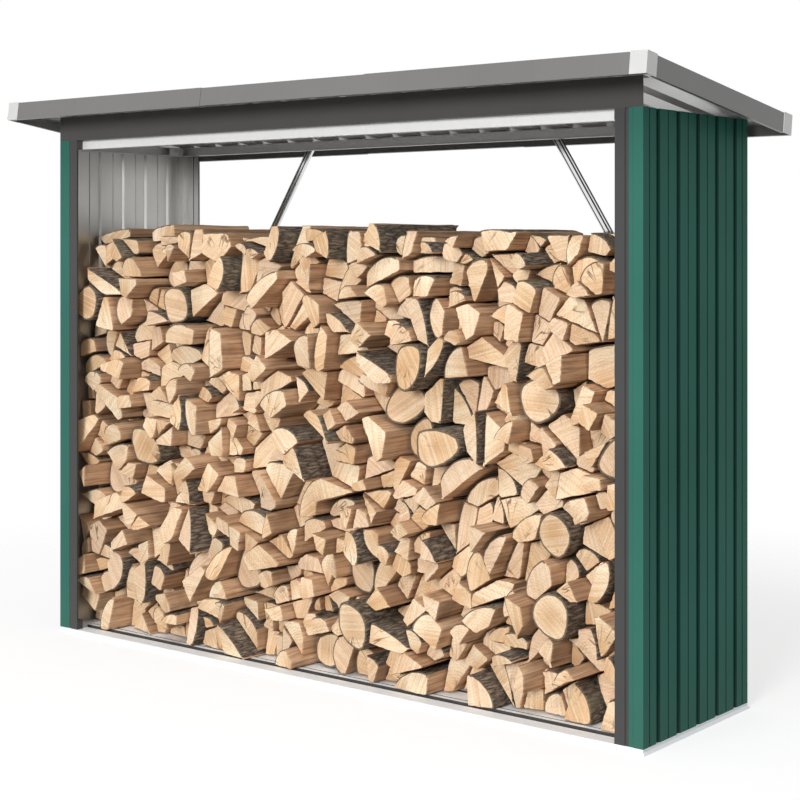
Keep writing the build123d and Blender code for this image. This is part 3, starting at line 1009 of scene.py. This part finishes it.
def dressCourse(name, look, number, stackTop):
    chance = np.random.default_rng(look["seed"] * 100 + number)
    logs = [dressLog(points, chance, look, stackTop) for points in logIslands(nodes[name].data)]
    starts = np.cumsum([0] + [len(log["vertices"]) for log in logs])
    vertices = np.vstack([log["vertices"] for log in logs])
    quads = np.vstack([log["quads"] + start for log, start in zip(logs, starts)])
    triangles = np.vstack([log["triangles"] + start for log, start in zip(logs, starts)])
    mesh = bpy.data.meshes.new(name + "_wood")
    mesh.from_pydata(vertices.tolist(), [], quads.tolist() + triangles.tolist())
    kinds = np.concatenate([log["kinds"] for log in logs] + [np.zeros(len(triangles), int)])
    for finish in woodFinishes:
        mesh.materials.append(finish)
    mesh.polygons.foreach_set("material_index", kinds.astype(np.int32))
    mesh.polygons.foreach_set("use_smooth", np.ones(len(kinds), bool))
    for key in ("rimShade", "logChance", "sawLine"):
        layer = mesh.attributes.new(key, "FLOAT", "POINT")
        layer.data.foreach_set("value", np.concatenate([log[key] for log in logs]).astype(np.float32))
    for key in ("ringPlace", "grainPlace"):
        layer = mesh.attributes.new(key, "FLOAT_VECTOR", "POINT")
        layer.data.foreach_set("vector", np.vstack([log[key] for log in logs]).astype(np.float32).ravel())
    mesh.update()
    mesh.set_sharp_from_angle(angle=math.radians(look["sharpAngle"]))
    linkPiece(name + "_wood", mesh, name)
    return len(logs), len(quads) * 2 + len(triangles)


courses = sorted(name for name in nodes if name.startswith("firewood_course"))
stackHigh = max(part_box(name)[1].z for name in courses)
made = [dressCourse(name, logLook, number, stackHigh) for number, name in enumerate(courses)]
logCount, triangleCount = np.sum(made, axis=0)
print("firewood stacked,", logCount, "logs,", triangleCount, "triangles")

# pale floor that thins out to the white backdrop, and soft light from the front
studio = {
    "floor": 0.40,
    "floorGlow": 0.66,
    "floorReach": 12,
    "floorNear": 1.7,  # from here the floor thins out
    "floorFar": 2.9,
    "floorBelow": 0.0004,
    "floorRough": 0.9,
    "fillSide": 0.18,
    "fillTop": 0.62,
}
keyLamp = {"place": (3.4, -11.2, 3.2), "target": (0, 0, 0.8), "size": 3.5, "power": 1040.0}
upperLamp = {"place": (0.9, -3.4, 5.5), "target": (0, 0, 0.6), "size": 3.0, "power": 110.0}


def seenRay(tree):
    path = addNode(tree, "LightPath")
    seen = sumOf(tree, path.outputs["Is Camera Ray"], path.outputs["Is Glossy Ray"], "MAXIMUM")
    return sumOf(tree, seen, path.outputs["Is Transmission Ray"], "MAXIMUM")


def studioFloor(look):
    mesh = bpy.data.meshes.new("studioFloor")
    reach = look["floorReach"]
    corners = [(-reach, -reach, 0), (reach, -reach, 0), (reach, reach, 0), (-reach, reach, 0)]
    mesh.from_pydata(corners, [], [(0, 1, 2, 3)])
    floor = bpy.data.objects.new("studioFloor", mesh)
    floor.location.z = -look["floorBelow"]
    scene.collection.objects.link(floor)
    finish, tree, shader = newFinish("studioFloor")
    place = addNode(tree, "NewGeometry").outputs["Position"]
    radius = addNode(tree, "VectorMath", operation="LENGTH")
    join(tree, place, radius.inputs[0])
    shader.inputs["Base Color"].default_value = (look["floor"],) * 3 + (1,)
    shader.inputs["Roughness"].default_value = look["floorRough"]
    shader.inputs["Specular IOR Level"].default_value = 0.0
    clear = addNode(tree, "BsdfTransparent")
    blend = addNode(tree, "MixShader")
    thin = spreadOf(tree, radius.outputs["Value"], look["floorNear"], look["floorFar"], 0, 1)
    join(tree, thin, blend.inputs["Fac"])
    glow = addNode(tree, "Emission")  # lifts the floor to the white backdrop and doesn't light the store
    join(tree, sumOf(tree, seenRay(tree), look["floorGlow"], "MULTIPLY"), glow.inputs["Strength"])
    lifted = addNode(tree, "AddShader")
    join(tree, shader.outputs["BSDF"], lifted.inputs[0])
    join(tree, glow.outputs["Emission"], lifted.inputs[1])
    join(tree, lifted.outputs["Shader"], blend.inputs[1])
    join(tree, clear.outputs["BSDF"], blend.inputs[2])
    join(tree, blend.outputs["Shader"], tree.nodes["Material Output"].inputs["Surface"])
    mesh.materials.append(finish)


def studioWorld(look):
    world = bpy.data.worlds.new("studioWorld")
    world.use_nodes = True
    tree = world.node_tree
    sky = tree.nodes["Background"]
    sky.inputs["Color"].default_value = (1, 1, 1, 1)
    way = addNode(tree, "SeparateXYZ")
    join(tree, addNode(tree, "TexCoord").outputs["Generated"], way.inputs["Vector"])
    # more light from above
    dome = spreadOf(tree, way.outputs["Z"], 0, 1, look["fillSide"], look["fillTop"])
    join(tree, sumOf(tree, dome, seenRay(tree), "MAXIMUM"), sky.inputs["Strength"])
    scene.world = world


def softbox(name, look):
    lamp = bpy.data.lights.new(name, "AREA")
    lamp.shape = "DISK"
    lamp.size = look["size"]
    lamp.energy = look["power"]
    box = bpy.data.objects.new(name, lamp)
    box.location = look["place"]
    aim = Vector(look["target"]) - Vector(look["place"])
    box.rotation_euler = aim.to_track_quat("-Z", "Y").to_euler()
    scene.collection.objects.link(box)


studioFloor(studio)
studioWorld(studio)
softbox("keySoftbox", keyLamp)
softbox("upperSoftbox", upperLamp)
print("studio lit")

print("log store done")
